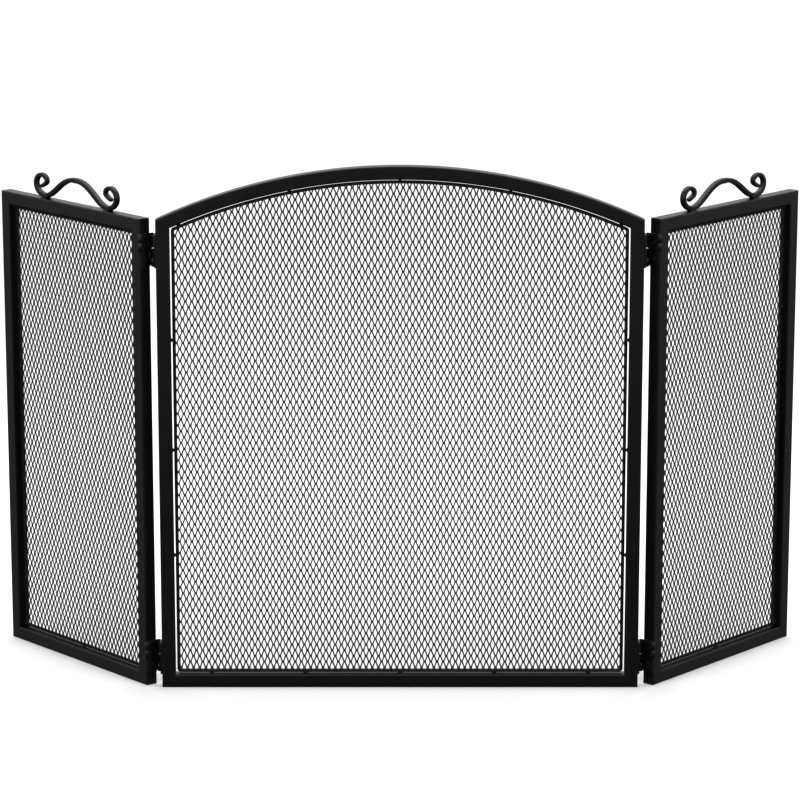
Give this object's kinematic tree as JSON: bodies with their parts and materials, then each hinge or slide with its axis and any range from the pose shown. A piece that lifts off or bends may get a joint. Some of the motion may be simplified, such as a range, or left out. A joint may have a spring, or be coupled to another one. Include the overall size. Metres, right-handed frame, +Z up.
{
  "type": "fireplace screen",
  "caption": "Folding fireplace screen of black square-tube frames and expanded metal mesh, with an arched centre panel and hinged side wings that carry scroll handles.",
  "frame": {"origin": "middle of the underside of the centre panel's bottom rail, on the floor", "axes": "+X along the centre panel, +Y to the back towards the fire, +Z up"},
  "size_m": [1.1722, 0.2663, 0.76],
  "materials": {
    "frame_coat": "black satin powder coat with a fine texture",
    "mesh_coat": "black satin paint on expanded steel mesh and its wire frame",
    "handle_coat": "black satin paint on bent steel bar",
    "hinge_steel": "black lacquered steel",
    "screw_steel": "blackened steel, slightly shiny"
  },
  "bodies": {
    "centre": {"centre_arch_rail": "frame_coat", "centre_bottom_rail": "frame_coat", "centre_left_stile": "frame_coat", "centre_mesh_sheet": "mesh_coat", "centre_mesh_wire": "mesh_coat", "centre_right_stile": "frame_coat", "left_bottom_hinge_centre_leaf": "hinge_steel", "left_bottom_hinge_centre_lower_screw": "screw_steel", "left_bottom_hinge_centre_upper_screw": "screw_steel", "left_bottom_hinge_rear_pin": "hinge_steel", "left_top_hinge_centre_leaf": "hinge_steel", "left_top_hinge_centre_lower_screw": "screw_steel", "left_top_hinge_centre_upper_screw": "screw_steel", "left_top_hinge_rear_pin": "hinge_steel", "right_bottom_hinge_centre_leaf": "hinge_steel", "right_bottom_hinge_centre_lower_screw": "screw_steel", "right_bottom_hinge_centre_upper_screw": "screw_steel", "right_bottom_hinge_rear_pin": "hinge_steel", "right_top_hinge_centre_leaf": "hinge_steel", "right_top_hinge_centre_lower_screw": "screw_steel", "right_top_hinge_centre_upper_screw": "screw_steel", "right_top_hinge_rear_pin": "hinge_steel"},
    "left_links": {"left_bottom_hinge_front_pin": "hinge_steel", "left_bottom_hinge_link": "hinge_steel", "left_top_hinge_front_pin": "hinge_steel", "left_top_hinge_link": "hinge_steel"},
    "left_wing": {"left_bottom_hinge_wing_leaf": "hinge_steel", "left_bottom_hinge_wing_lower_screw": "screw_steel", "left_bottom_hinge_wing_upper_screw": "screw_steel", "left_handle_inner_scroll": "handle_coat", "left_handle_outer_scroll": "handle_coat", "left_top_hinge_wing_leaf": "hinge_steel", "left_top_hinge_wing_lower_screw": "screw_steel", "left_top_hinge_wing_upper_screw": "screw_steel", "left_wing_bottom_rail": "frame_coat", "left_wing_inner_stile": "frame_coat", "left_wing_mesh_sheet": "mesh_coat", "left_wing_mesh_wire": "mesh_coat", "left_wing_outer_stile": "frame_coat", "left_wing_top_rail": "frame_coat"},
    "right_links": {"right_bottom_hinge_front_pin": "hinge_steel", "right_bottom_hinge_link": "hinge_steel", "right_top_hinge_front_pin": "hinge_steel", "right_top_hinge_link": "hinge_steel"},
    "right_wing": {"right_bottom_hinge_wing_leaf": "hinge_steel", "right_bottom_hinge_wing_lower_screw": "screw_steel", "right_bottom_hinge_wing_upper_screw": "screw_steel", "right_handle_inner_scroll": "handle_coat", "right_handle_outer_scroll": "handle_coat", "right_top_hinge_wing_leaf": "hinge_steel", "right_top_hinge_wing_lower_screw": "screw_steel", "right_top_hinge_wing_upper_screw": "screw_steel", "right_wing_bottom_rail": "frame_coat", "right_wing_inner_stile": "frame_coat", "right_wing_mesh_sheet": "mesh_coat", "right_wing_mesh_wire": "mesh_coat", "right_wing_outer_stile": "frame_coat", "right_wing_top_rail": "frame_coat"}
  },
  "joints": [
    {"name": "left_rear_fold", "type": "hinge", "parent": "centre", "child": "left_links", "pos_m": [-0.34825, 0.0125, 0], "axis": [0, 0, -1], "range_deg": [-48, 132]},
    {"name": "left_front_fold", "type": "hinge", "parent": "left_links", "child": "left_wing", "pos_m": [-0.36482, -0.00646, 0], "axis": [0, 0, 1], "range_deg": [0, 180]},
    {"name": "right_rear_fold", "type": "hinge", "parent": "centre", "child": "right_links", "pos_m": [0.34825, 0.0125, 0], "axis": [0, 0, 1], "range_deg": [-48, 132]},
    {"name": "right_front_fold", "type": "hinge", "parent": "right_links", "child": "right_wing", "pos_m": [0.36482, -0.00646, 0], "axis": [0, 0, -1], "range_deg": [0, 180]}
  ]
}
